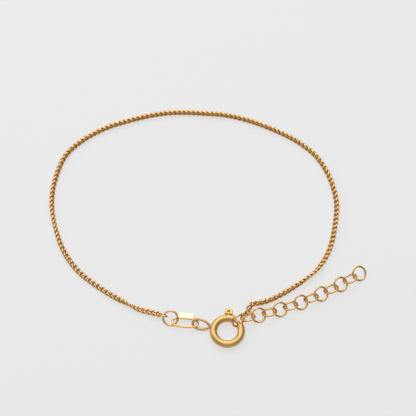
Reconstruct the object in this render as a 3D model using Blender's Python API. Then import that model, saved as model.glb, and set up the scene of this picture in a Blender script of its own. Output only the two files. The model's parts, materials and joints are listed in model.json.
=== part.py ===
"""Fine curb-link bracelet in gold plate, lying on a surface as it would by itself.

The chain lies in an open loop. At its left end a plain ring carries a small oval tag, the tag hangs
on the eye of a round sprung clasp, and the clasp holds the ring that joins the chain's right end to
a short adjusting tail of round rings. Metres, +Z up, the surface at z = 0, the far side at +Y.
"""

import math

import bmesh
import bpy
from mathutils import Matrix, Vector

MM = 0.001

# Curb chain: the width of its links, and its route over the surface (x, y, height of the centre
# above its resting height), from the left end round the back to the right end
CHAIN_WIDTH = 1.05 * MM
CHAIN_SIDES = 8
CHAIN_POINT_SPACING = 2.5
CHAIN_ROUTE_MM = [
    (-13.2, -18.0, 0.0), (-15.1, -17.2, 0.0), (-18.6, -15.2, 0.0), (-22.3, -12.7, 0.0),
    (-26.0, -9.5, 0.0), (-28.9, -5.2, 0.0), (-30.7, 0.0, 0.0), (-31.5, 5.5, 0.0),
    (-30.8, 11.0, 0.0), (-28.7, 16.2, 0.0), (-24.8, 19.8, 0.0), (-20.3, 22.3, 0.0),
    (-15.9, 23.8, 0.0), (-11.8, 24.9, 0.0), (-8.0, 25.5, 0.0), (-4.2, 25.6, 0.0),
    (-0.6, 25.4, 0.0), (3.1, 25.1, 0.0), (6.8, 24.3, 0.0), (10.6, 23.0, 0.0),
    (14.6, 21.2, 0.0), (18.7, 18.8, 0.0), (22.4, 15.4, 0.0), (24.9, 10.7, 0.0),
    (26.1, 5.5, 0.0), (25.7, 0.1, 0.0), (24.5, -5.0, 0.0), (22.3, -8.9, 0.0),
    (19.4, -11.6, 0.0), (16.1, -13.9, 0.0), (13.0, -15.65, 0.0), (10.8, -16.6, 0.35),
    (8.75, -17.35, 1.1),
]

# Wire sizes of the small rings and links
RING_OUTER = 3.18 * MM
RING_WIRE = 0.40 * MM
LINK_GAP = 0.10 * MM
RING_STEPS = 22
WIRE_SIDES = 8

# Adjusting tail: rings that lean away from and towards the front by turns, on a gentle curve
TAIL_RINGS = 12
TAIL_SLACK = 0.16 * MM
TAIL_HEADING = 13.0
TAIL_TURN = 2.0
TAIL_LEAN_BACK = 38.0
TAIL_LEAN_FRONT = 32.0
TAIL_YAW_FRONT = 14.0

# Clasp: a round tube with a gap, closed by a curved bolt that slides round inside it
CLASP_CENTRE_X = 3.95 * MM
CLASP_CENTRE_Y = -22.70 * MM
CLASP_OUTER = 7.0 * MM
CLASP_TUBE = 1.40 * MM
CLASP_WALL = 0.15 * MM
GAP_START = 27.0
GAP_END = 65.0
TUBE_STEPS = 40
TUBE_SIDES = 14

# Bolt and the trigger that draws it back
BOLT_CLEARANCE = 0.17 * MM
BOLT_SEAT = 7.0
BOLT_TAIL = 104.0
TRIGGER_ANGLE = 86.0
TRIGGER_TRAVEL = 45.0
TRIGGER_WIDTH = 1.60 * MM
TRIGGER_REACH = 1.45 * MM
TRIGGER_THICK = 0.60 * MM
TRIGGER_HOLE = 0.50 * MM
TRIGGER_NECK = 0.50 * MM
TRIGGER_GAP = 0.10 * MM
TRIGGER_STEPS = 8
BOLT_STEPS = 12
BOLT_SIDES = 10

# Eye of the clasp: a pear-shaped wire loop soldered to the tube
EYE_ANGLE = 165.0
EYE_LENGTH = 3.85 * MM
EYE_WIDTH = 2.60 * MM
EYE_WIRE = 0.50 * MM
EYE_TAPER = 0.3
EYE_ROLL = 34.0
EYE_STEPS = 32

# Tag: an oval wire link with a small flat plate along its far side
TAG_LENGTH = 5.55 * MM
TAG_WIDTH = 2.50 * MM
TAG_WIRE = 0.40 * MM
TAG_SQUARENESS = 2.5
TAG_HEADING = 174.0
TAG_ROLL = 13.0
TAG_DROP = 1.5
TAG_PLATE_LENGTH = 3.30 * MM
TAG_PLATE_WIDTH = 1.30 * MM
TAG_PLATE_THICK = 0.45 * MM

# Links that end the chain, one on the plain ring and one on the joining ring
END_LINK_LENGTH = 1.95 * MM
END_LINK_WIDTH = 1.30 * MM
END_LINK_WIRE = 0.34 * MM
END_LINK_SQUARENESS = 2.2
END_LINK_STEPS = 20

# Plain ring between the chain's left end and the tag
END_RING_OUTER = 3.30 * MM
END_RING_WIRE = 0.40 * MM
END_RING_LEAN = 31.0
END_RING_HEADING = -5.0
END_RING_SIDE = 150.0

# Play where the loose pieces hang in each other
TAG_PLAY_IN_EYE = 0.60 * MM
TAG_PLAY_IN_RING = 0.50 * MM
JOIN_ANGLE = 38.0
JOIN_LEAN = 70.0
JOIN_PLAY = 0.40 * MM
TAIL_START_HEADING = 25.0
TAIL_START_SLACK = 0.35 * MM
CHAIN_END_GAP = 0.15 * MM
END_LINK_PLAY = 0.22 * MM

# How each end link lies: bearing away from its ring, roll, drop towards the chain, rise above the
# ring's centre
END_LINK_LIE = (160.0, 60.0, 10.0, 0.15 * MM)
LAST_LINK_LIE = (44.0, -20.0, 18.0, 0.30 * MM)

# Sizes that follow from the ones above
CHAIN_REST = CHAIN_WIDTH / 2 * math.cos(math.pi / CHAIN_SIDES)
RING_RADIUS = (RING_OUTER - RING_WIRE) / 2
TUBE_RADIUS = CLASP_TUBE / 2
CLASP_RADIUS = CLASP_OUTER / 2 - TUBE_RADIUS
BORE_RADIUS = TUBE_RADIUS - CLASP_WALL
BOLT_RADIUS = BORE_RADIUS - BOLT_CLEARANCE
CLASP_LIFT = max(0.0, RING_WIRE + LINK_GAP + BOLT_RADIUS - TUBE_RADIUS)
CLASP_CENTRE = Vector((CLASP_CENTRE_X, CLASP_CENTRE_Y, CLASP_LIFT + TUBE_RADIUS))


def direction(degrees):
    """A level unit vector at this bearing, counted from +X towards +Y."""
    return Vector((math.cos(math.radians(degrees)), math.sin(math.radians(degrees)), 0.0))


def pose(centre, heading, roll, pitch=0.0):
    """A frame at this centre whose X lies along the heading, then pitched nose-up and rolled."""
    turn = Matrix.Rotation(math.radians(heading), 4, "Z")
    nose = Matrix.Rotation(math.radians(-pitch), 4, "Y")
    lean = Matrix.Rotation(math.radians(roll), 4, "X")
    return Matrix.Translation(centre) @ turn @ nose @ lean


def gold(name, colour, roughness):
    """Gold plate of one finish."""
    material = bpy.data.materials.new(name)
    material.use_nodes = True
    shader = material.node_tree.nodes["Principled BSDF"]
    shader.inputs["Base Color"].default_value = (*colour, 1.0)
    shader.inputs["Metallic"].default_value = 1.0
    shader.inputs["Roughness"].default_value = roughness
    return material


def add_object(name, data, material, matrix):
    """Put the mesh or curve in the scene with its material, at its place."""
    obj = bpy.data.objects.new(name, data)
    obj.matrix_world = matrix
    data.materials.append(material)
    bpy.context.scene.collection.objects.link(obj)
    return obj


def as_helper(obj):
    """A shape that only cuts or joins another one."""
    obj.hide_render = True
    obj.display_type = "WIRE"
    return obj


def wire_curve(name, points, thickness, closed, flat_down=False):
    """A round wire along points, with filled ends where it is open."""
    curve = bpy.data.curves.new(name, "CURVE")
    curve.dimensions = "3D"
    curve.twist_mode = "Z_UP" if flat_down else "MINIMUM"
    curve.bevel_depth = thickness / 2
    curve.bevel_resolution = (WIRE_SIDES - 4) // 2
    curve.use_fill_caps = not closed
    spline = curve.splines.new("POLY")
    spline.points.add(len(points) - 1)
    for point, place in zip(spline.points, points):
        point.co = (*place, 1.0)
        point.tilt = math.pi / WIRE_SIDES if flat_down else 0.0
    spline.use_cyclic_u = closed
    return curve


def oval(length, width, steps, squareness=2.0, taper=0.0):
    """A closed outline in XY: an ellipse, squarer over 2, and narrower towards -X with a taper."""
    points = []
    for step in range(steps):
        angle = 2 * math.pi * step / steps
        across = math.cos(angle)
        along = math.sin(angle)
        x = math.copysign(abs(across) ** (2 / squareness), across)
        y = math.copysign(abs(along) ** (2 / squareness), along)
        points.append(Vector((x * length / 2, y * width / 2 * (1 + taper * across), 0.0)))
    return points


def wire_ring(name, outer, wire, material, matrix):
    """A round ring of round wire."""
    outline = oval(outer - wire, outer - wire, RING_STEPS)
    return add_object(name, wire_curve(name, outline, wire, True), material, matrix)


def mesh_object(name, bm, material, matrix):
    """A mesh object with smooth round faces and sharp corners."""
    bmesh.ops.recalc_face_normals(bm, faces=bm.faces)
    mesh = bpy.data.meshes.new(name)
    bm.to_mesh(mesh)
    bm.free()
    mesh.shade_smooth()
    mesh.set_sharp_from_angle(angle=math.radians(50))
    return add_object(name, mesh, material, matrix)


def round_profile(radius, sides):
    """A circle of (distance from the clasp's axis, height) on the clasp tube's centre line."""
    turn = math.pi / sides
    return [
        (
            CLASP_RADIUS + radius * math.cos(turn + 2 * math.pi * side / sides),
            radius * math.sin(turn + 2 * math.pi * side / sides),
        )
        for side in range(sides)
    ]


def spun(profile, start, end, steps):
    """A solid swept from this profile about the clasp's axis, between two bearings."""
    bm = bmesh.new()
    face = bm.faces.new([bm.verts.new((far, 0.0, high)) for far, high in profile])
    bmesh.ops.rotate(bm, verts=bm.verts, matrix=Matrix.Rotation(math.radians(start), 3, "Z"))
    bmesh.ops.spin(
        bm,
        geom=[face, *face.edges, *face.verts],
        axis=(0.0, 0.0, 1.0),
        cent=(0.0, 0.0, 0.0),
        angle=math.radians(end - start),
        steps=steps,
        use_duplicate=False,
    )
    return bm


def combine(obj, other, operation):
    """Join another shape to this one, or cut it away."""
    modifier = obj.modifiers.new(f"{operation.lower()} {other.name}", "BOOLEAN")
    modifier.operation = operation
    modifier.object = as_helper(other)


def mesh_of_curve(name, curve, material, matrix):
    """The mesh of a wire, for joining to another mesh."""
    source = add_object(name + "_wire", curve, material, matrix)
    mesh = bpy.data.meshes.new_from_object(source.evaluated_get(bpy.context.evaluated_depsgraph_get()))
    bpy.data.objects.remove(source)
    obj = bpy.data.objects.new(name, mesh)
    obj.matrix_world = matrix
    bpy.context.scene.collection.objects.link(obj)
    return obj


def smooth_route(knots):
    """Points at even spacing on a smooth curve through the knots."""
    padded = [2 * knots[0] - knots[1], *knots, 2 * knots[-1] - knots[-2]]
    dense = []
    pieces = 40
    for before, here, there, after in zip(padded, padded[1:], padded[2:], padded[3:]):
        for piece in range(pieces):
            t = piece / pieces
            dense.append(
                0.5
                * (
                    2 * here
                    + (there - before) * t
                    + (2 * before - 5 * here + 4 * there - after) * t**2
                    + (3 * here - 3 * there + after - before) * t**3
                )
            )
    dense.append(knots[-1])
    runs = [0.0]
    for a, b in zip(dense, dense[1:]):
        runs.append(runs[-1] + (b - a).length)
    count = round(runs[-1] / (CHAIN_POINT_SPACING * CHAIN_WIDTH))
    points = []
    index = 0
    for step in range(count + 1):
        goal = runs[-1] * step / count
        while index < len(runs) - 2 and runs[index + 1] < goal:
            index += 1
        share = (goal - runs[index]) / (runs[index + 1] - runs[index])
        points.append(dense[index].lerp(dense[index + 1], share))
    return points


def ring_height(outer, wire, lean):
    """How high the centre of a ring lies when it leans on the surface."""
    return (outer - wire) / 2 * math.sin(math.radians(abs(lean))) + wire / 2


def clasp_case(material):
    """The clasp's tube with its soldered eye, bored out for the bolt and slotted for the trigger."""
    matrix = Matrix.Translation(CLASP_CENTRE)
    tube = spun(round_profile(TUBE_RADIUS, TUBE_SIDES), GAP_END, GAP_START + 360, TUBE_STEPS)
    case = mesh_object("clasp_case", tube, material, matrix)
    loop = oval(EYE_LENGTH - EYE_WIRE / 2, EYE_WIDTH - EYE_WIRE, EYE_STEPS, taper=EYE_TAPER)
    middle = direction(EYE_ANGLE) * (CLASP_RADIUS + TUBE_RADIUS + (EYE_LENGTH - EYE_WIRE / 2) / 2)
    curve = wire_curve("eye", loop, EYE_WIRE, True)
    eye = mesh_of_curve("eye", curve, material, matrix @ pose(middle, EYE_ANGLE, -EYE_ROLL))
    bore_overrun = 5.0
    bore = spun(
        round_profile(BORE_RADIUS, TUBE_SIDES),
        GAP_END - bore_overrun,
        GAP_START + 360 + bore_overrun,
        TUBE_STEPS,
    )
    slot_half = TRIGGER_NECK / 2 + TRIGGER_GAP
    neck_half = math.degrees(slot_half / (CLASP_RADIUS + TUBE_RADIUS))
    slot_out = CLASP_RADIUS + TUBE_RADIUS + CLASP_WALL
    slot_profile = [
        (CLASP_RADIUS, -slot_half), (slot_out, -slot_half), (slot_out, slot_half), (CLASP_RADIUS, slot_half)
    ]
    slot_end = TRIGGER_ANGLE + TRIGGER_TRAVEL + neck_half
    slot = spun(slot_profile, TRIGGER_ANGLE - neck_half, slot_end, TUBE_STEPS // 4)
    combine(case, eye, "UNION")
    combine(case, mesh_object("bore", bore, material, matrix), "DIFFERENCE")
    combine(case, mesh_object("slot", slot, material, matrix), "DIFFERENCE")
    return case


def clasp_bolt(material):
    """The curved bolt and its trigger, which stands out through the slot and turns with it."""
    matrix = Matrix.Translation(CLASP_CENTRE)
    profile = round_profile(BOLT_RADIUS, BOLT_SIDES)
    arc = spun(profile, GAP_START - BOLT_SEAT, BOLT_TAIL, BOLT_STEPS)
    bolt = mesh_object("clasp_bolt", arc, material, matrix)
    bolt_turn = Matrix.Rotation(math.radians(TRIGGER_ANGLE), 4, "Z")
    inner = CLASP_RADIUS + TUBE_RADIUS + TRIGGER_GAP
    outer = CLASP_RADIUS + TUBE_RADIUS + TRIGGER_REACH
    half = TRIGGER_WIDTH / 2
    outline = [(inner, -half)]
    for step in range(TRIGGER_STEPS + 1):
        angle = math.pi * (step / TRIGGER_STEPS - 0.5)
        outline.append((outer - half + half * math.cos(angle), half * math.sin(angle)))
    outline.append((inner, half))
    bm = bmesh.new()
    face = bm.faces.new([bm.verts.new((x, y, -TRIGGER_THICK / 2)) for x, y in outline])
    raised = bmesh.ops.extrude_face_region(bm, geom=[face])["geom"]
    top = [item for item in raised if isinstance(item, bmesh.types.BMVert)]
    bmesh.ops.translate(bm, verts=top, vec=(0.0, 0.0, TRIGGER_THICK))
    tab = mesh_object("trigger", bm, material, matrix @ bolt_turn)
    neck_length = inner - CLASP_RADIUS + TRIGGER_GAP
    bm = bmesh.new()
    bmesh.ops.create_cone(
        bm,
        cap_ends=True,
        segments=BOLT_SIDES,
        radius1=TRIGGER_NECK / 2,
        radius2=TRIGGER_NECK / 2,
        depth=neck_length,
        matrix=Matrix.Translation((CLASP_RADIUS + neck_length / 2, 0.0, 0.0))
        @ Matrix.Rotation(math.pi / 2, 4, "Y"),
    )
    neck = mesh_object("trigger_neck", bm, material, matrix @ bolt_turn)
    bm = bmesh.new()
    bmesh.ops.create_cone(
        bm,
        cap_ends=True,
        segments=BOLT_SIDES,
        radius1=TRIGGER_HOLE / 2,
        radius2=TRIGGER_HOLE / 2,
        depth=2 * TRIGGER_THICK,
        matrix=Matrix.Translation((outer - half, 0.0, 0.0)),
    )
    hole = mesh_object("trigger_hole", bm, material, matrix @ bolt_turn)
    combine(bolt, neck, "UNION")
    combine(bolt, tab, "UNION")
    combine(bolt, hole, "DIFFERENCE")
    return bolt


def tag_link(material):
    """The oval tag, hung in the clasp's eye; returns the place of its free end."""
    eye_tip = CLASP_CENTRE + direction(EYE_ANGLE) * (
        CLASP_RADIUS + TUBE_RADIUS + EYE_LENGTH - EYE_WIRE / 2
    )
    hold = (EYE_WIRE + TAG_WIRE) / 2 + TAG_PLAY_IN_EYE
    near_end = eye_tip - direction(EYE_ANGLE) * hold
    span = TAG_LENGTH - TAG_WIRE
    far_end = near_end + direction(TAG_HEADING) * span * math.cos(math.radians(TAG_DROP))
    far_end.z = near_end.z - span * math.sin(math.radians(TAG_DROP))
    matrix = pose((near_end + far_end) / 2, TAG_HEADING, TAG_ROLL, -TAG_DROP)
    outline = oval(span, TAG_WIDTH - TAG_WIRE, EYE_STEPS, squareness=TAG_SQUARENESS)
    tag = mesh_of_curve("tag_link", wire_curve("tag", outline, TAG_WIRE, True), material, matrix)
    tag.data.shade_smooth()
    bm = bmesh.new()
    bmesh.ops.create_cube(
        bm,
        size=1.0,
        matrix=Matrix.Translation((0.0, -(TAG_WIDTH - TAG_WIRE + TAG_PLATE_WIDTH) / 2, 0.0))
        @ Matrix.Diagonal((TAG_PLATE_LENGTH, TAG_PLATE_WIDTH, TAG_PLATE_THICK, 1.0)),
    )
    combine(tag, mesh_object("tag_plate", bm, material, matrix), "UNION")
    return far_end


def end_ring(material, tag_end):
    """The plain ring, hung in the tag's free end; returns its centre."""
    hold = (END_RING_WIRE + TAG_WIRE) / 2 + TAG_PLAY_IN_RING
    crossing = tag_end - direction(TAG_HEADING) * hold
    centre = crossing + direction(END_RING_SIDE) * (END_RING_OUTER - END_RING_WIRE) / 2
    centre.z = ring_height(END_RING_OUTER, END_RING_WIRE, END_RING_LEAN)
    matrix = pose(centre, END_RING_HEADING, END_RING_LEAN)
    wire_ring("end_ring", END_RING_OUTER, END_RING_WIRE, material, matrix)
    return centre


def joining_ring(material):
    """The ring that the bolt passes through; returns its centre."""
    height = ring_height(RING_OUTER, RING_WIRE, JOIN_LEAN)
    above_bolt = height - CLASP_CENTRE.z
    up_ring = above_bolt / math.sin(math.radians(JOIN_LEAN))
    half_way = math.sqrt((RING_OUTER / 2 - RING_WIRE) ** 2 - up_ring**2)
    outward = CLASP_RADIUS + half_way - BOLT_RADIUS - JOIN_PLAY
    centre = CLASP_CENTRE + direction(JOIN_ANGLE) * outward
    centre += direction(JOIN_ANGLE + 90) * up_ring * math.cos(math.radians(JOIN_LEAN))
    centre.z = height
    matrix = pose(centre, JOIN_ANGLE, JOIN_LEAN)
    wire_ring("joining_ring", RING_OUTER, RING_WIRE, material, matrix)
    return centre


def tail_rings(material, start):
    """The adjusting tail, ring by ring from the joining ring."""
    taut = 2 * (RING_RADIUS - RING_WIRE / 2)
    centre = start + direction(TAIL_START_HEADING) * (taut - TAIL_START_SLACK)
    for index in range(TAIL_RINGS):
        heading = TAIL_HEADING + TAIL_TURN * index
        if index % 2 == 0:
            lean, own_heading = TAIL_LEAN_BACK, heading
            roll = -lean
        else:
            lean, own_heading = TAIL_LEAN_FRONT, heading + TAIL_YAW_FRONT
            roll = lean
        centre.z = ring_height(RING_OUTER, RING_WIRE, lean)
        matrix = pose(centre, own_heading, roll)
        wire_ring(f"tail_ring_{index + 1:02d}", RING_OUTER, RING_WIRE, material, matrix)
        centre = centre + direction(heading) * (taut - TAIL_SLACK)


def end_link(name, material, ring_centre, ring_reach, lie):
    """The oval link between a ring and the chain; returns the place where the chain takes over."""
    away, roll, drop, rise = lie
    half = (END_LINK_LENGTH - END_LINK_WIRE) / 2
    grip = (RING_WIRE + END_LINK_WIRE) / 2 + LINK_GAP + END_LINK_PLAY
    centre = ring_centre + direction(away) * (ring_reach - grip + half)
    centre.z = ring_centre.z + rise
    across = END_LINK_WIDTH - END_LINK_WIRE
    outline = oval(2 * half, across, END_LINK_STEPS, squareness=END_LINK_SQUARENESS)
    curve = wire_curve(name, outline, END_LINK_WIRE, True)
    matrix = pose(centre, away, roll, -drop)
    add_object(name, curve, material, matrix)
    return matrix @ Vector((END_LINK_LENGTH / 2 + CHAIN_END_GAP, 0.0, 0.0))


def curb_chain(material, start, end):
    """The fine chain, one tube of its links' width along its route."""
    knots = [start]
    for x, y, raised in CHAIN_ROUTE_MM:
        knots.append(Vector((x * MM, y * MM, CHAIN_REST + raised * MM)))
    knots.append(end)
    route = smooth_route(knots)
    for point in route:
        point.z = max(point.z, CHAIN_REST)
    curve = wire_curve("curb_chain", route, CHAIN_WIDTH, False, flat_down=True)
    return add_object("curb_chain", curve, material, Matrix.Identity(4))


for obj in list(bpy.data.objects):
    bpy.data.objects.remove(obj)

chain_gold = gold("chain gold", (0.72, 0.42, 0.13), 0.28)
ring_gold = gold("ring gold", (0.70, 0.42, 0.14), 0.25)
tag_gold = gold("tag gold", (0.82, 0.62, 0.28), 0.20)
satin_gold = gold("satin gold", (0.78, 0.52, 0.22), 0.42)

clasp_case(satin_gold)
clasp_bolt(satin_gold)
tag_end = tag_link(tag_gold)
end_centre = end_ring(ring_gold, tag_end)
join_centre = joining_ring(ring_gold)
tail_rings(ring_gold, join_centre)
end_reach = (END_RING_OUTER - END_RING_WIRE) / 2
chain_start = end_link("end_link", ring_gold, end_centre, end_reach, END_LINK_LIE)
chain_end = end_link("last_link", ring_gold, join_centre, RING_RADIUS, LAST_LINK_LIE)
curb_chain(chain_gold, chain_start, chain_end)
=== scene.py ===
import math

import bmesh
import bpy
import numpy
from mathutils import Matrix, Vector
from mathutils.kdtree import KDTree
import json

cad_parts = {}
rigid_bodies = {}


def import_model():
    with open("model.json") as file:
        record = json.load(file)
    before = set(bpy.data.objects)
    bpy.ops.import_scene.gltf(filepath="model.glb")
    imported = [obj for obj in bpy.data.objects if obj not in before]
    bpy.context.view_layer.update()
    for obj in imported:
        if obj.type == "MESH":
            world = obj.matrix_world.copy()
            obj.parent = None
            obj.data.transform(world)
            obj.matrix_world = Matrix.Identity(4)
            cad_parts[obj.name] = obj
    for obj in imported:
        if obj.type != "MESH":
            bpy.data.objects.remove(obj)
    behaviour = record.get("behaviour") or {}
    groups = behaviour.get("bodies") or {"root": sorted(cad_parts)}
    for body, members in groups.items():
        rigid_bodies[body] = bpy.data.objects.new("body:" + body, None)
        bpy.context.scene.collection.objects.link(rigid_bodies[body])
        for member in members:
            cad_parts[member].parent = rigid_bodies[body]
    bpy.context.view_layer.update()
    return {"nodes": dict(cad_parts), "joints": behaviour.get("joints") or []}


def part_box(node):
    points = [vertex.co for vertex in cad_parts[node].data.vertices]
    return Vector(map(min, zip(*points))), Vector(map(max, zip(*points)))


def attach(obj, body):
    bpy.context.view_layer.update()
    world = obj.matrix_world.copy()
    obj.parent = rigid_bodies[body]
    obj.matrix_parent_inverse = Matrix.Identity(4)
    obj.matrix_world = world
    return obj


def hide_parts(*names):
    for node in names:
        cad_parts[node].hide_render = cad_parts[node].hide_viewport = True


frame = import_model()

# Curb chain. Oval links of round brass wire, each twisted so that it lies flat in its neighbours,
# then gold plated. Each link is closed through the one before it, so the chain turns over as it
# lies: face up near its ends, on its edge along the back and both sides.
LINK_LENGTH = 1.90
LINK_WIDTH = 1.22
LINK_WIRE = 0.41
LINK_TWIST = math.radians(60)
PITCH_FACE_UP = 1.06
PITCH_ON_EDGE = 0.96
ROLL_FACE_UP = 160
LINK_STEPS = 28
LINK_SIDES = 10

# Every piece is drawn in mm, and this brings it to the frame's metres
MM = 0.001

# Points between two rows of the route, and how many of them either way give a link its direction
ROUTE_STEPS = 40
LOOK_AHEAD = 14

# Route of the chain's middle: x, y and rise above where it rests, in mm, and roll in degrees
CHAIN_ROUTE = [
    (-9.9, -19.05, 0.50, 0), (-13.2, -18.0, 0.0, 5), (-15.1, -17.2, 0.0, 60),
    (-18.6, -15.2, 0.0, 158), (-22.3, -12.7, 0.0, 162), (-26.0, -9.5, 0.0, 168),
    (-28.9, -5.2, 0.0, 206), (-30.7, 0.0, 0.0, 246), (-31.5, 5.5, 0.0, 236),
    (-30.8, 11.0, 0.0, 229), (-28.7, 16.2, 0.0, 233), (-24.8, 19.8, 0.0, 239),
    (-20.3, 22.3, 0.0, 244), (-15.9, 23.8, 0.0, 245), (-11.8, 24.9, 0.0, 245),
    (-8.0, 25.5, 0.0, 246), (-4.2, 25.6, 0.0, 246), (-0.6, 25.4, 0.0, 246),
    (3.1, 25.1, 0.0, 245), (6.8, 24.3, 0.0, 244), (10.6, 23.0, 0.0, 244),
    (14.6, 21.2, 0.0, 243), (18.7, 18.8, 0.0, 241), (22.4, 15.4, 0.0, 236),
    (24.9, 10.7, 0.0, 230), (26.1, 5.5, 0.0, 224), (25.7, 0.1, 0.0, 217),
    (24.5, -5.0, 0.0, 214), (22.3, -8.9, 0.0, 230), (19.4, -11.6, 0.0, 276),
    (16.1, -13.9, 0.0, 308), (13.0, -15.65, 0.0, 310), (10.8, -16.6, 0.35, 312),
    (8.75, -17.35, 1.1, 320), (8.03, -18.88, 0.95, 334),
]

# Middle line and wire radius of every loop of wire, by its number, for the painted shade where wires
# touch, further on
wire_lines = []


def tube_along(points, radius, sides):
    """Corners and faces of a closed round wire along a line of points that circles its middle."""
    count = len(points)
    middle = sum(points, Vector()) / count
    corners = []
    for index, point in enumerate(points):
        along = (points[(index + 1) % count] - points[index - 1]).normalized()
        out = point - middle
        out = (out - out.dot(along) * along).normalized()
        up = along.cross(out)
        for side in range(sides):
            turn = 2 * math.pi * side / sides
            corners.append(point + radius * (math.cos(turn) * out + math.sin(turn) * up))
    faces = []
    for ring in range(count):
        here = ring * sides
        there = (ring + 1) % count * sides
        for side in range(sides):
            beside = (side + 1) % sides
            faces.append((here + side, here + beside, there + beside, there + side))
    return corners, faces


def wire_mesh(name, loops, sides):
    """One mesh of closed wires. Each loop is its line of points, its wire's radius and its place."""
    corners = []
    faces = []
    numbers = []
    for points, radius, place in loops:
        loop_corners, loop_faces = tube_along(points, radius, sides)
        first = len(corners)
        corners += [place @ corner for corner in loop_corners]
        faces += [tuple(first + index for index in face) for face in loop_faces]
        number = len(wire_lines)
        wire_lines.append(([place @ point for point in points], radius))
        numbers += [number] * len(loop_corners)
    mesh = bpy.data.meshes.new(name)
    mesh.from_pydata([corner * MM for corner in corners], [], faces)
    mesh.attributes.new("loop", "INT", "POINT").data.foreach_set("value", numbers)
    mesh.shade_smooth()
    return mesh


def add_piece(name, mesh, material, body, slot, *nodes):
    """Put a finished mesh on its CAD body in place of the CAD solids that it stands for."""
    piece = bpy.data.objects.new(name, mesh)
    bpy.context.scene.collection.objects.link(piece)
    mesh.materials.clear()
    mesh.materials.append(material)
    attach(piece, body)
    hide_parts(*nodes)


# Finish of the plate: how fine its clouds of tone and its grain are, the part of the grain's range
# that shows, how far that takes the roughness down and up, and how strongly the grain is raised
CLOUD_SCALE = 420.0
CLOUD_DETAIL = 3.0
GRAIN_SCALE = 9000.0
GRAIN_DETAIL = 4.0
GRAIN_LOW = 0.3
GRAIN_HIGH = 0.7
SMOOTHEST = 0.80
ROUGHEST = 1.25
GRAIN_RAISED = 0.6


def gold_plate(name, bright, deep, painted_shade, edge, roughness, grain_depth):
    """Gold plate: cloudy in tone, faintly grained, and darkened with painted shade where one wire lies
    in another.
    """
    material = bpy.data.materials.new(name)
    material.use_nodes = True
    nodes = material.node_tree.nodes
    links = material.node_tree.links
    shader = nodes["Principled BSDF"]
    shader.inputs["Metallic"].default_value = 1.0
    shader.inputs["Specular Tint"].default_value = (*edge, 1.0)
    place = nodes.new("ShaderNodeTexCoord")

    cloud = nodes.new("ShaderNodeTexNoise")
    cloud.inputs["Scale"].default_value = CLOUD_SCALE
    cloud.inputs["Detail"].default_value = CLOUD_DETAIL
    links.new(place.outputs["Object"], cloud.inputs["Vector"])
    tone = nodes.new("ShaderNodeMix")
    tone.data_type = "RGBA"
    tone.inputs["A"].default_value = (*bright, 1.0)
    tone.inputs["B"].default_value = (*deep, 1.0)
    links.new(cloud.outputs["Fac"], tone.inputs["Factor"])

    # Painted shade: the base colour is darkened where other wires lie close, standing in for the shade
    # between them.
    painted_shade_mask = nodes.new("ShaderNodeAttribute")
    painted_shade_mask.attribute_name = "painted_shade"
    painted_shade_mix = nodes.new("ShaderNodeMix")
    painted_shade_mix.data_type = "RGBA"
    painted_shade_mix.inputs["B"].default_value = (*painted_shade, 1.0)
    links.new(painted_shade_mask.outputs["Fac"], painted_shade_mix.inputs["Factor"])
    links.new(tone.outputs["Result"], painted_shade_mix.inputs["A"])
    links.new(painted_shade_mix.outputs["Result"], shader.inputs["Base Color"])

    grain = nodes.new("ShaderNodeTexNoise")
    grain.inputs["Scale"].default_value = GRAIN_SCALE
    grain.inputs["Detail"].default_value = GRAIN_DETAIL
    links.new(place.outputs["Object"], grain.inputs["Vector"])
    rough = nodes.new("ShaderNodeMapRange")
    rough.inputs["From Min"].default_value = GRAIN_LOW
    rough.inputs["From Max"].default_value = GRAIN_HIGH
    rough.inputs["To Min"].default_value = roughness * SMOOTHEST
    rough.inputs["To Max"].default_value = roughness * ROUGHEST
    links.new(grain.outputs["Fac"], rough.inputs["Value"])
    links.new(rough.outputs["Result"], shader.inputs["Roughness"])
    bump = nodes.new("ShaderNodeBump")
    bump.inputs["Strength"].default_value = GRAIN_RAISED
    bump.inputs["Distance"].default_value = grain_depth
    links.new(grain.outputs["Fac"], bump.inputs["Height"])
    links.new(bump.outputs["Normal"], shader.inputs["Normal"])
    return material


def twisted_link():
    """Middle line of one link: an oval whose plane turns with the distance from its middle."""
    half = (LINK_LENGTH - LINK_WIRE) / 2
    side = (LINK_WIDTH - LINK_WIRE) / 2
    points = []
    for step in range(LINK_STEPS):
        turn = 2 * math.pi * step / LINK_STEPS
        twist = LINK_TWIST * math.cos(turn)
        out = side * math.sin(turn)
        points.append(Vector((half * math.cos(turn), out * math.cos(twist), out * math.sin(twist))))
    return points


def resting_height(points, roll):
    """Height of a link's middle when it lies on the surface at this roll."""
    low = min(point.y * math.sin(roll) + point.z * math.cos(roll) for point in points)
    return LINK_WIRE / 2 - low


def smooth_between(before, here, there, after, t):
    """A point on a smooth curve between two rows of the route."""
    return tuple(
        0.5
        * (
            2 * b
            + (c - a) * t
            + (2 * a - 5 * b + 4 * c - d) * t**2
            + (3 * b - 3 * c + d - a) * t**3
        )
        for a, b, c, d in zip(before, here, there, after)
    )


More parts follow.
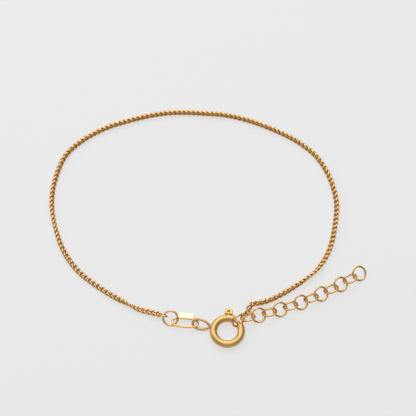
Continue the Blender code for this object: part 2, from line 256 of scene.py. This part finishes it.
def places_of_links(link):
    """Each link's place along the route, turned with it and rolled, closer together when on edge."""
    lead_in = [tuple(2 * a - b for a, b in zip(CHAIN_ROUTE[0], CHAIN_ROUTE[1]))]
    lead_out = [tuple(2 * a - b for a, b in zip(CHAIN_ROUTE[-1], CHAIN_ROUTE[-2]))]
    rows = lead_in + CHAIN_ROUTE + lead_out
    dense = []
    for before, here, there, after in zip(rows, rows[1:], rows[2:], rows[3:]):
        for step in range(ROUTE_STEPS):
            share = step / ROUTE_STEPS
            x, y, rise, roll = smooth_between(before, here, there, after, share)
            rest = resting_height(link, math.radians(roll))
            dense.append((Vector((x, y, rest + max(rise, 0.0))), roll))
    x, y, rise, roll = CHAIN_ROUTE[-1]
    dense.append((Vector((x, y, resting_height(link, math.radians(roll)) + rise)), roll))
    runs = [0.0]
    for (a, roll), (b, _) in zip(dense, dense[1:]):
        face_up = math.cos(math.radians(roll - ROLL_FACE_UP)) ** 2
        pitch = PITCH_ON_EDGE + (PITCH_FACE_UP - PITCH_ON_EDGE) * face_up
        runs.append(runs[-1] + (b - a).length / pitch)
    count = round(runs[-1])
    places = []
    index = 0
    for number in range(count + 1):
        goal = runs[-1] * number / count
        while index < len(runs) - 2 and runs[index + 1] < goal:
            index += 1
        share = (goal - runs[index]) / (runs[index + 1] - runs[index])
        point = dense[index][0].lerp(dense[index + 1][0], share)
        roll = dense[index][1] + share * (dense[index + 1][1] - dense[index][1])
        back_point = dense[max(index - LOOK_AHEAD, 0)][0]
        front_point = dense[min(index + LOOK_AHEAD, len(dense) - 1)][0]
        ahead = (front_point - back_point).normalized()
        side = Vector((0, 0, 1)).cross(ahead).normalized()
        up = ahead.cross(side)
        turn = Matrix((ahead, side, up)).transposed().to_4x4()
        place = Matrix.Translation(point) @ turn @ Matrix.Rotation(math.radians(roll), 4, "X")
        sunk = LINK_WIRE / 2 - min((place @ corner).z for corner in link)
        places.append(Matrix.Translation((0.0, 0.0, max(sunk, 0.0))) @ place)
    return places


chain_gold = gold_plate(
    "chain gold plate",
    bright=(0.99, 0.64, 0.26),
    deep=(0.90, 0.51, 0.17),
    painted_shade=(0.22, 0.09, 0.018),
    edge=(0.34, 0.18, 0.07),
    roughness=0.24,
    grain_depth=0.0000006,
)
link = twisted_link()
chain_loops = [(link, LINK_WIRE / 2, place) for place in places_of_links(link)]
chain_mesh = wire_mesh("curb_links", chain_loops, LINK_SIDES)
add_piece("curb_links", chain_mesh, chain_gold, "bracelet", "chain_gold", "curb_chain")

# End link and plain ring at the chain's left end. The link is an oval of round wire, soldered shut
# in the chain's first link, and hangs in a plain round ring of thicker wire.
RING_STEPS = 72
RING_SIDES = 14
END_LINK_LENGTH = 1.95
END_LINK_WIDTH = 1.30
END_LINK_WIRE = 0.34
END_LINK_SQUARENESS = 2.2
END_LINK_STEPS = 40
LEFT_LINK_CENTRE = (-8.845, -19.430, 1.097)
PLAIN_RING_OUTER = 3.30
RING_WIRE = 0.40


def oval_line(length, width, steps, squareness=2.0):
    """A closed oval in its own XY plane, squarer than an ellipse where squareness is over 2."""
    points = []
    for step in range(steps):
        turn = 2 * math.pi * step / steps
        across = math.cos(turn)
        along = math.sin(turn)
        x = math.copysign(abs(across) ** (2 / squareness), across)
        y = math.copysign(abs(along) ** (2 / squareness), along)
        points.append(Vector((x * length / 2, y * width / 2, 0.0)))
    return points


def place_of_ring(node):
    """Where a CAD ring lies: its middle, and its own plane."""
    low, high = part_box(node)
    middle = (low + high) / 2
    corners = [vertex.co - middle for vertex in frame["nodes"][node].data.vertices]
    axes = numpy.linalg.svd(numpy.array(corners), full_matrices=False)[2]
    across = Vector(axes[0])
    normal = Vector(axes[2])
    turn = Matrix((across, normal.cross(across), normal)).transposed().to_4x4()
    return Matrix.Translation(middle / MM) @ turn


def placed(centre, heading, roll, drop):
    """A place in mm whose X points along the heading and down by the drop, then rolled about it."""
    turn = Matrix.Rotation(math.radians(heading), 4, "Z")
    nose = Matrix.Rotation(math.radians(drop), 4, "Y")
    lean = Matrix.Rotation(math.radians(roll), 4, "X")
    return Matrix.Translation(centre) @ turn @ nose @ lean


ring_gold = gold_plate(
    "ring gold plate",
    bright=(0.92, 0.60, 0.24),
    deep=(0.76, 0.45, 0.15),
    painted_shade=(0.15, 0.06, 0.012),
    edge=(0.30, 0.17, 0.07),
    roughness=0.22,
    grain_depth=0.0000006,
)
end_link_line = oval_line(
    END_LINK_LENGTH - END_LINK_WIRE,
    END_LINK_WIDTH - END_LINK_WIRE,
    END_LINK_STEPS,
    END_LINK_SQUARENESS,
)
left_place = placed(LEFT_LINK_CENTRE, heading=160, roll=60, drop=10)
left_mesh = wire_mesh("left_link", [(end_link_line, END_LINK_WIRE / 2, left_place)], RING_SIDES)
add_piece("left_link", left_mesh, ring_gold, "bracelet", "ring_gold", "end_link")


def round_ring(name, node, outer):
    """A plain ring of round wire where the CAD ring lies."""
    line = oval_line(outer - RING_WIRE, outer - RING_WIRE, RING_STEPS)
    mesh = wire_mesh(name, [(line, RING_WIRE / 2, place_of_ring(node))], RING_SIDES)
    add_piece(name, mesh, ring_gold, "bracelet", "ring_gold", node)


round_ring("plain_ring", "end_ring", PLAIN_RING_OUTER)

# Tag. An oval of wire with a small plate of sheet soldered along its far bar, polished bright and
# left bare. The plain ring hangs in its left end and the clasp's eye in its right end.
TAG_LENGTH = 5.55
TAG_WIDTH = 2.50
TAG_WIRE = 0.40
TAG_SQUARENESS = 2.5
TAG_CENTRE = (-4.454, -20.865, 0.813)
TAG_PLATE_LENGTH = 3.30
TAG_PLATE_WIDTH = 1.30
TAG_PLATE_THICK = 0.45
TAG_PLATE_CORNER = 0.25
TAG_PLATE_CORNER_STEPS = 6
TAG_PLATE_EDGE = 0.10
TAG_PLATE_EDGE_STEPS = 4
TAG_PLATE_SHARP = math.radians(60)


def rounded(bm, sides, width, steps):
    """Round some of a solid's sides off to a quarter circle of this width."""
    bmesh.ops.bevel(bm, geom=sides, offset=width, segments=steps, affect="EDGES", profile=0.5)


def small_plate():
    """The plate with rounded corners and softened edges, in mm about its own middle."""
    bm = bmesh.new()
    size = (TAG_PLATE_LENGTH, TAG_PLATE_WIDTH, TAG_PLATE_THICK, 1.0)
    bmesh.ops.create_cube(bm, size=1.0, matrix=Matrix.Diagonal(size))
    upright = []
    for side in bm.edges:
        if abs(side.verts[0].co.z - side.verts[1].co.z) > TAG_PLATE_THICK / 2:
            upright.append(side)
    rounded(bm, upright, TAG_PLATE_CORNER, TAG_PLATE_CORNER_STEPS)
    rims = [side for side in bm.edges if side.calc_face_angle(0.0) > TAG_PLATE_SHARP]
    rounded(bm, rims, TAG_PLATE_EDGE, TAG_PLATE_EDGE_STEPS)
    return bm


tag_gold = gold_plate(
    "tag gold plate",
    bright=(0.86, 0.72, 0.38),
    deep=(0.80, 0.64, 0.30),
    painted_shade=(0.18, 0.08, 0.02),
    edge=(0.50, 0.36, 0.18),
    roughness=0.18,
    grain_depth=0.0000004,
)
tag_place = placed(TAG_CENTRE, heading=174, roll=13, drop=1.5)
tag_line = oval_line(TAG_LENGTH - TAG_WIRE, TAG_WIDTH - TAG_WIRE, RING_STEPS, TAG_SQUARENESS)
tag_wire_mesh = wire_mesh("tag_wire", [(tag_line, TAG_WIRE / 2, tag_place)], RING_SIDES)
plate_out = (TAG_WIDTH - TAG_WIRE + TAG_PLATE_WIDTH) / 2
plate = small_plate()
plate.transform(Matrix.Scale(MM, 4) @ tag_place @ Matrix.Translation((0.0, -plate_out, 0.0)))
plate_mesh = bpy.data.meshes.new("bare_plate")
plate.to_mesh(plate_mesh)
plate.free()
plate_mesh.shade_smooth()
plate_mesh.set_sharp_from_angle(angle=TAG_PLATE_SHARP)
add_piece("tag_wire", tag_wire_mesh, ring_gold, "bracelet", "tag_gold", "tag_link")
add_piece("bare_plate", plate_mesh, tag_gold, "bracelet", "tag_gold", "tag_link")

# Clasp case. A thin brass tube bent round to a ring with a gap, with a pear-shaped eye of wire
# soldered to its left side and a slot along its far side, satin finished under the plate.
CLASP_OUTER = 7.0
TUBE_THICK = 1.46
TUBE_WALL = 0.18
TUBE_SIDES = 32
TUBE_STEPS = 120
GAP_START = 27.0
GAP_END = 65.0
BORE_OVERRUN = 5.0
SLOT_START = 80.0
SLOT_END = 137.0
SLOT_HEIGHT = 0.70
SLOT_STEPS = 24
EYE_ANGLE = 165.0
EYE_LENGTH = 3.85
EYE_WIDTH = 2.60
EYE_WIRE = 0.54
EYE_ROLL = 34.0
EYE_FULLNESS = 1.12
EYE_TAPER = 0.3
EYE_STEPS = 80
EYE_SIDES = 16
CLASP_VOXEL = 0.05
POLISH_STRENGTH = 0.5
POLISH_PASSES = 5
clasp_middle = Vector(frame["joints"][0]["pos_m"]) / MM
clasp_radius = (CLASP_OUTER - TUBE_THICK) / 2


def bent_round(profile, start, end, steps):
    """A solid bent round the clasp's middle, from a profile of (distance from it, height)."""
    bm = bmesh.new()
    face = bm.faces.new([bm.verts.new((far, 0.0, high)) for far, high in profile])
    bmesh.ops.rotate(bm, verts=bm.verts, matrix=Matrix.Rotation(math.radians(start), 3, "Z"))
    bmesh.ops.spin(
        bm,
        geom=[face, *face.edges, *face.verts],
        axis=(0.0, 0.0, 1.0),
        cent=(0.0, 0.0, 0.0),
        angle=math.radians(end - start),
        steps=steps,
        use_duplicate=False,
    )
    bmesh.ops.recalc_face_normals(bm, faces=bm.faces)
    return bm


def round_section(radius, sides):
    """A circle on the tube's middle line."""
    return [
        (
            clasp_radius + radius * math.cos(2 * math.pi * side / sides),
            radius * math.sin(2 * math.pi * side / sides),
        )
        for side in range(sides)
    ]


def loose_object(name, bm):
    """An object in mm that is only worked on and then thrown away."""
    mesh = bpy.data.meshes.new(name)
    bm.to_mesh(mesh)
    bm.free()
    piece = bpy.data.objects.new(name, mesh)
    bpy.context.scene.collection.objects.link(piece)
    return piece


def worked(piece, *tools):
    """The piece's mesh after its modifiers, still in mm; the piece and its tools are removed."""
    bpy.context.view_layer.update()
    shaped = piece.evaluated_get(bpy.context.evaluated_depsgraph_get())
    mesh = bpy.data.meshes.new_from_object(shaped)
    for used in (piece, *tools):
        bpy.data.objects.remove(used)
    return mesh


def cut_or_join(piece, tool, operation):
    """A Boolean between two loose objects."""
    modifier = piece.modifiers.new(tool.name, "BOOLEAN")
    modifier.operation = operation
    modifier.object = tool


def pear_line(length, width, steps):
    """A closed pear-shaped line, round at +X and drawn to a point at -X."""
    points = []
    for step in range(steps):
        turn = 2 * math.pi * step / steps
        taper = (0.5 + 0.5 * math.cos(turn)) ** EYE_TAPER
        x = length / 2 * math.cos(turn)
        y = width / 2 * EYE_FULLNESS * math.sin(turn) * taper
        points.append(Vector((x, y, 0.0)))
    return points


satin_gold = gold_plate(
    "satin gold plate",
    bright=(0.80, 0.52, 0.20),
    deep=(0.70, 0.42, 0.14),
    painted_shade=(0.20, 0.09, 0.02),
    edge=(0.36, 0.20, 0.08),
    roughness=0.42,
    grain_depth=0.0000015,
)
tube_section = round_section(TUBE_THICK / 2, TUBE_SIDES)
tube_end = GAP_START + 360
tube = loose_object("tube", bent_round(tube_section, GAP_END, tube_end, TUBE_STEPS))
bore_section = round_section(TUBE_THICK / 2 - TUBE_WALL, TUBE_SIDES)
bore_start = GAP_END - BORE_OVERRUN
bore_end = tube_end + BORE_OVERRUN
bore = loose_object("bore", bent_round(bore_section, bore_start, bore_end, TUBE_STEPS))
slot_section = [
    (clasp_radius, -SLOT_HEIGHT / 2),
    (clasp_radius + TUBE_THICK, -SLOT_HEIGHT / 2),
    (clasp_radius + TUBE_THICK, SLOT_HEIGHT / 2),
    (clasp_radius, SLOT_HEIGHT / 2),
]
slot = loose_object("slot", bent_round(slot_section, SLOT_START, SLOT_END, SLOT_STEPS))
eye_reach = EYE_LENGTH - EYE_WIRE / 2
eye_out = clasp_radius + TUBE_THICK / 2 + eye_reach / 2
eye_turn = math.radians(EYE_ANGLE)
eye_centre = (eye_out * math.cos(eye_turn), eye_out * math.sin(eye_turn), 0.0)
eye_place = placed(eye_centre, heading=EYE_ANGLE, roll=-EYE_ROLL, drop=0)
eye_line = pear_line(eye_reach, EYE_WIDTH - EYE_WIRE, EYE_STEPS)
eye_corners, eye_faces = tube_along(eye_line, EYE_WIRE / 2, EYE_SIDES)
eye_shape = bmesh.new()
eye_verts = [eye_shape.verts.new(eye_place @ corner) for corner in eye_corners]
for face in eye_faces:
    eye_shape.faces.new([eye_verts[index] for index in face])
bmesh.ops.recalc_face_normals(eye_shape, faces=eye_shape.faces)
eye = loose_object("eye", eye_shape)
cut_or_join(tube, eye, "UNION")
cut_or_join(tube, bore, "DIFFERENCE")
cut_or_join(tube, slot, "DIFFERENCE")
melt = tube.modifiers.new("solder", "REMESH")
melt.mode = "VOXEL"
melt.voxel_size = CLASP_VOXEL
melt.use_smooth_shade = True
polish = tube.modifiers.new("polish", "SMOOTH")
polish.factor = POLISH_STRENGTH
polish.iterations = POLISH_PASSES
case_mesh = worked(tube, bore, slot, eye)
case_mesh.transform(Matrix.Scale(MM, 4) @ Matrix.Translation(clasp_middle))
add_piece("clasp_tube_and_eye", case_mesh, satin_gold, "bracelet", "satin_gold", "clasp_case")

# Clasp bolt. A curved rod that slides inside the tube and closes its gap, pushed shut by a small
# coil spring behind it, with a drilled thumb tab that stands out through the slot.
BOLT_THICK = 0.76
BOLT_START = 20.0
BOLT_END = 104.0
BOLT_SIDES = 20
BOLT_STEPS = 48
BOLT_NOSE_STEPS = 12
BOLT_SHARP = math.radians(50)
TAB_ANGLE = 86.0
TAB_WIDTH = 1.60
TAB_REACH = 1.45
TAB_THICK = 0.60
TAB_GAP = 0.10
TAB_STEPS = 16
TAB_HOLE = 0.46
TAB_HOLE_DEPTH = 0.42
TAB_HOLE_SIDES = 32
TAB_EDGE = 0.13
TAB_EDGE_STEPS = 4
NECK_THICK = 0.50

tab_inner = CLASP_OUTER / 2 + TAB_GAP
tab_outer = CLASP_OUTER / 2 + TAB_REACH
tab_half = TAB_WIDTH / 2
tab_round = tab_outer - tab_half
tab_outline = [(tab_inner, -tab_half)]
for step in range(TAB_STEPS + 1):
    turn = math.pi * (step / TAB_STEPS - 0.5)
    tab_outline.append((tab_round + tab_half * math.cos(turn), tab_half * math.sin(turn)))
tab_outline.append((tab_inner, tab_half))
tab_shape = bmesh.new()
face = tab_shape.faces.new([tab_shape.verts.new((x, y, -TAB_THICK / 2)) for x, y in tab_outline])
raised = bmesh.ops.extrude_face_region(tab_shape, geom=[face])["geom"]
lifted = [item for item in raised if isinstance(item, bmesh.types.BMVert)]
bmesh.ops.translate(tab_shape, verts=lifted, vec=(0.0, 0.0, TAB_THICK))
bmesh.ops.recalc_face_normals(tab_shape, faces=tab_shape.faces)
tab = loose_object("tab", tab_shape)
hole_shape = bmesh.new()
bmesh.ops.create_cone(
    hole_shape,
    cap_ends=True,
    segments=TAB_HOLE_SIDES,
    radius1=TAB_HOLE / 2,
    radius2=TAB_HOLE / 2,
    depth=2 * TAB_HOLE_DEPTH,
    matrix=Matrix.Translation((tab_round, 0.0, TAB_THICK / 2)),
)
hole = loose_object("hole", hole_shape)
cut_or_join(tab, hole, "DIFFERENCE")
softened = tab.modifiers.new("edges", "BEVEL")
softened.width = TAB_EDGE
softened.segments = TAB_EDGE_STEPS
softened.limit_method = "ANGLE"
softened.angle_limit = BOLT_SHARP
tab_mesh = worked(tab, hole)
tab_turn = Matrix.Rotation(math.radians(TAB_ANGLE), 4, "Z")
tab_mesh.transform(tab_turn)
bolt_section = round_section(BOLT_THICK / 2, BOLT_SIDES)
bolt_shape = bent_round(bolt_section, BOLT_START, BOLT_END, BOLT_STEPS)
nose = math.radians(BOLT_START)
bmesh.ops.create_uvsphere(
    bolt_shape,
    u_segments=BOLT_SIDES,
    v_segments=BOLT_NOSE_STEPS,
    radius=BOLT_THICK / 2,
    matrix=Matrix.Translation((clasp_radius * math.cos(nose), clasp_radius * math.sin(nose), 0.0)),
)
neck_length = tab_inner - clasp_radius + TAB_GAP
bmesh.ops.create_cone(
    bolt_shape,
    cap_ends=True,
    segments=BOLT_SIDES,
    radius1=NECK_THICK / 2,
    radius2=NECK_THICK / 2,
    depth=neck_length,
    matrix=tab_turn
    @ Matrix.Translation((clasp_radius + neck_length / 2, 0.0, 0.0))
    @ Matrix.Rotation(math.pi / 2, 4, "Y"),
)
bolt_shape.from_mesh(tab_mesh)
bolt_shape.transform(Matrix.Scale(MM, 4) @ Matrix.Translation(clasp_middle))
bolt_mesh = bpy.data.meshes.new("sliding_bolt")
bolt_shape.to_mesh(bolt_mesh)
bolt_shape.free()
bolt_mesh.shade_smooth()
bolt_mesh.set_sharp_from_angle(angle=BOLT_SHARP)
add_piece("sliding_bolt", bolt_mesh, satin_gold, "bolt", "satin_gold", "clasp_bolt")

# Joining ring and the chain's right end link. The bolt closes on this ring, which also holds the
# first ring of the tail and the oval link that is soldered into the chain's last link.
RING_OUTER = 3.18
RIGHT_LINK_CENTRE = (7.261, -19.624, 1.806)
round_ring("joining_jump_ring", "joining_ring", RING_OUTER)
right_place = placed(RIGHT_LINK_CENTRE, heading=44, roll=-20, drop=18)
right_mesh = wire_mesh("right_link", [(end_link_line, END_LINK_WIRE / 2, right_place)], RING_SIDES)
add_piece("right_link", right_mesh, ring_gold, "bracelet", "ring_gold", "last_link")

# Tail. Twelve soldered rings of the same wire, each through the next, which let the clasp close
# further out on a wider wrist.
TAIL_RINGS = 12
for number in range(1, TAIL_RINGS + 1):
    round_ring(f"tail_link_{number:02d}", f"tail_ring_{number:02d}", RING_OUTER)

# Painted shade. Each loop's colour is painted darker towards the wires that touch it. This stands in
# for the shade where one wire lies in another.
PAINTED_SHADE_REACH = 0.22
PAINTED_SHADE_SEARCH = 0.5
PAINTED_SHADE_FALLOFF = 1.5
tree = KDTree(sum(len(points) for points, _ in wire_lines))
owner = []
for number, (points, _) in enumerate(wire_lines):
    for point in points:
        tree.insert(point, len(owner))
        owner.append(number)
tree.balance()
for piece in list(bpy.data.objects):
    if piece.type != "MESH" or "loop" not in piece.data.attributes:
        continue
    mesh = piece.data
    loops = [0] * len(mesh.vertices)
    mesh.attributes["loop"].data.foreach_get("value", loops)
    painted_shade_values = []
    for vertex, loop in zip(mesh.vertices, loops):
        painted_shade = 0.0
        for _, index, distance in tree.find_range(vertex.co / MM, PAINTED_SHADE_SEARCH):
            if owner[index] != loop:
                gap = distance - wire_lines[owner[index]][1]
                painted_shade = max(painted_shade, 1.0 - gap / PAINTED_SHADE_REACH)
        painted_shade_values.append(min(max(painted_shade, 0.0), 1.0) ** PAINTED_SHADE_FALLOFF)
    mesh.attributes.new("painted_shade", "FLOAT", "POINT").data.foreach_set("value", painted_shade_values)

# Surface. A matt white board that the bracelet lies on, in metres, big enough to fill the view. It
# glows a little, as paper does with light on both its sides, which keeps the shadows faint.
FLOOR_SIZE = 1.2
BOARD_TONE = 0.25
BOARD_GLOW = 0.60
bm = bmesh.new()
bmesh.ops.create_grid(bm, x_segments=1, y_segments=1, size=FLOOR_SIZE / 2)
floor_mesh = bpy.data.meshes.new("white_board")
bm.to_mesh(floor_mesh)
bm.free()
floor = bpy.data.objects.new("white_board", floor_mesh)
bpy.context.scene.collection.objects.link(floor)
board = bpy.data.materials.new("white board")
board.use_nodes = True
shader = board.node_tree.nodes["Principled BSDF"]
shader.inputs["Base Color"].default_value = (BOARD_TONE, BOARD_TONE, BOARD_TONE, 1.0)
shader.inputs["Roughness"].default_value = 1.0
shader.inputs["Specular IOR Level"].default_value = 0.0
shader.inputs["Emission Color"].default_value = (1.0, 1.0, 1.0, 1.0)
shader.inputs["Emission Strength"].default_value = BOARD_GLOW
floor_mesh.materials.append(board)

# Light. Four soft boxes in a dim room: behind the bracelet, to its left, over it and in front of it.
# The one over it is the widest and strongest, and the one in front only lifts the near sides.
SOFT_BOXES = [
    # name, place in metres, width in metres, power in watts
    ("back soft box", (0.0, 0.45, 0.37), 0.50, 1.30),
    ("left soft box", (-0.45, 0.20, 0.30), 0.36, 0.75),
    ("top soft box", (0.0, 0.20, 0.62), 0.70, 1.75),
    ("front soft box", (0.0, -0.42, 0.48), 0.48, 0.32),
]
ROOM_GREY = (0.25, 0.25, 0.26, 1.0)
for name, place, width, power in SOFT_BOXES:
    light = bpy.data.lights.new(name, "AREA")
    light.size = width
    light.energy = power
    lamp = bpy.data.objects.new(name, light)
    lamp.location = place
    lamp.rotation_euler = (Vector() - Vector(place)).to_track_quat("-Z", "Y").to_euler()
    bpy.context.scene.collection.objects.link(lamp)
room = bpy.data.worlds.new("room")
room.use_nodes = True
room.node_tree.nodes["Background"].inputs["Color"].default_value = ROOM_GREY
room.node_tree.nodes["Background"].inputs["Strength"].default_value = 1.0
bpy.context.scene.world = room
bpy.context.scene.view_settings.view_transform = "Standard"

# Camera. It looks down on the bracelet from the front, as the photograph does, from 600 mm away. Its
# lens takes in a strip of the board that is as wide as the photograph's. All in metres.
CAMERA_TARGET = Vector((0.0001, 0.00445, 0.0))
CAMERA_ELEVATION = math.radians(66)
CAMERA_DISTANCE = 0.600
VIEW_WIDTH = 0.08424
FILM_WIDTH = 36.0
NEAREST_SEEN = 0.01
camera_data = bpy.data.cameras.new("camera")
camera_data.sensor_width = FILM_WIDTH
camera_data.lens = FILM_WIDTH * CAMERA_DISTANCE / VIEW_WIDTH
camera_data.clip_start = NEAREST_SEEN
camera = bpy.data.objects.new("camera", camera_data)
camera.location = CAMERA_TARGET + CAMERA_DISTANCE * Vector(
    (0.0, -math.cos(CAMERA_ELEVATION), math.sin(CAMERA_ELEVATION))
)
camera.rotation_euler = (math.pi / 2 - CAMERA_ELEVATION, 0.0, 0.0)
bpy.context.scene.collection.objects.link(camera)
bpy.context.scene.camera = camera

# Bring every piece's place up to date.
bpy.context.view_layer.update()
